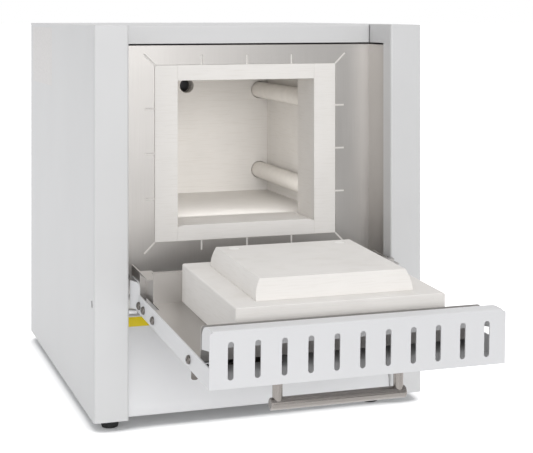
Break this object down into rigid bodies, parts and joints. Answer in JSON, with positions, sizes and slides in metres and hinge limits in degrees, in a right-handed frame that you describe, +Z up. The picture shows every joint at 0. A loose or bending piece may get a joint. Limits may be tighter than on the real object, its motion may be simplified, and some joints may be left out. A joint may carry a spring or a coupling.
{
  "type": "dental laboratory furnace",
  "caption": "Compact box furnace for preheating dental moulds, its flap door hinged down as a shelf that carries the fibre plug of the muffle chamber",
  "frame": {"origin": "centre of the bounding box in plan, at the underside of the feet", "axes": "X across the front to the right, Y from the open door to the rear cover, Z up"},
  "size_m": [0.39, 0.78, 0.444],
  "materials": {
    "side_paint": "satin powder coat",
    "front_paint": "satin powder coat",
    "stainless_sheet": "brushed stainless sheet",
    "zinc_steel": "zinc plated",
    "fibre_board": "pressed ceramic fibre board, matt",
    "ceramic": "fired ceramic",
    "heater_wire": "oxidised resistance wire",
    "black_plastic": "fine textured",
    "rubber": "matt",
    "yellow_strip": "satin paint",
    "display_glass": "gloss",
    "circuit_board": "coated laminate",
    "grey_plastic": "moulded",
    "green_plastic": "moulded",
    "blue_plastic": "moulded",
    "aluminium": "extruded",
    "handle_steel": "turned, satin",
    "dark_screw": "blackened"
  },
  "bodies": {
    "housing": {"left_side_panel": "side_paint", "right_side_panel": "side_paint", "top_panel": "front_paint", "rear_cover": "side_paint", "base_tray": "side_paint", "front_console": "front_paint", "front_liner": "stainless_sheet", "inner_casing": "stainless_sheet", "support_rails": "zinc_steel", "feet": "rubber", "collar_left_board": "fibre_board", "collar_right_board": "fibre_board", "collar_top_board": "fibre_board", "collar_bottom_board": "fibre_board", "chamber_side_walls": "fibre_board", "chamber_roof": "fibre_board", "chamber_floor": "fibre_board", "chamber_rear_wall": "fibre_board", "front_insulation": "fibre_board", "side_insulation": "fibre_board", "roof_insulation": "fibre_board", "floor_insulation": "fibre_board", "rear_insulation": "fibre_board", "heater_tubes": "ceramic", "heating_elements": "heater_wire", "thermocouple": "ceramic", "exhaust_tube": "ceramic", "exhaust_spigot": "stainless_sheet", "heater_terminals": "ceramic", "mains_inlet": "black_plastic", "rear_screws": "zinc_steel", "panel_rivets": "zinc_steel", "accent_strip": "yellow_strip", "controller_bezel": "black_plastic", "controller_display": "display_glass", "control_board": "circuit_board", "limiter_body": "grey_plastic", "switch_frame": "black_plastic", "power_relay": "black_plastic", "relay_heat_sink": "aluminium", "safety_contactor": "grey_plastic", "door_switch": "blue_plastic", "hinge_pins": "zinc_steel", "door_stops": "side_paint"},
    "door": {"door_shell": "front_paint", "door_tray": "stainless_sheet", "door_block": "fibre_board", "door_plug": "fibre_board", "plug_fixings": "ceramic", "handle_bar": "handle_steel", "handle_posts": "handle_steel", "door_screws": "dark_screw", "hinge_bushes": "grey_plastic"},
    "air_slide": {"air_slide": "zinc_steel"},
    "rocker": {"switch_rocker": "black_plastic"},
    "knob": {"limiter_knob": "black_plastic"},
    "up_key": {"key_up": "grey_plastic"},
    "down_key": {"key_down": "grey_plastic"},
    "menu_key": {"key_menu": "grey_plastic"},
    "start_key": {"key_start": "green_plastic"}
  },
  "joints": [
    {"name": "door_hinge", "type": "hinge", "parent": "housing", "child": "door", "pos_m": [0, -0.08298, 0.1378], "axis": [-1, 0, 0], "range_deg": [0, 92.2]},
    {"name": "air_slide_travel", "type": "slide", "parent": "door", "child": "air_slide", "axis": [1, 0, 0], "range_m": [0, 0.02]},
    {"name": "mains_rocker", "type": "hinge", "parent": "housing", "child": "rocker", "pos_m": [-0.036, -0.0739, 0.06633], "axis": [-1, 0, 0], "range_deg": [0, 24]},
    {"name": "limiter_turn", "type": "hinge", "parent": "housing", "child": "knob", "pos_m": [0.004, -0.07531, 0.06685], "axis": [0, 0.937, -0.3494], "range_deg": [0, 270]},
    {"name": "up_key_press", "type": "slide", "parent": "housing", "child": "up_key", "axis": [0, 0.937, -0.3494], "range_m": [0, 0.0008], "stiffness_N_per_m": 300, "springref_m": -0.0004},
    {"name": "down_key_press", "type": "slide", "parent": "housing", "child": "down_key", "axis": [0, 0.937, -0.3494], "range_m": [0, 0.0008], "stiffness_N_per_m": 300, "springref_m": -0.0004},
    {"name": "menu_key_press", "type": "slide", "parent": "housing", "child": "menu_key", "axis": [0, 0.937, -0.3494], "range_m": [0, 0.0008], "stiffness_N_per_m": 300, "springref_m": -0.0004},
    {"name": "start_key_press", "type": "slide", "parent": "housing", "child": "start_key", "axis": [0, 0.937, -0.3494], "range_m": [0, 0.0008], "stiffness_N_per_m": 300, "springref_m": -0.0004}
  ]
}
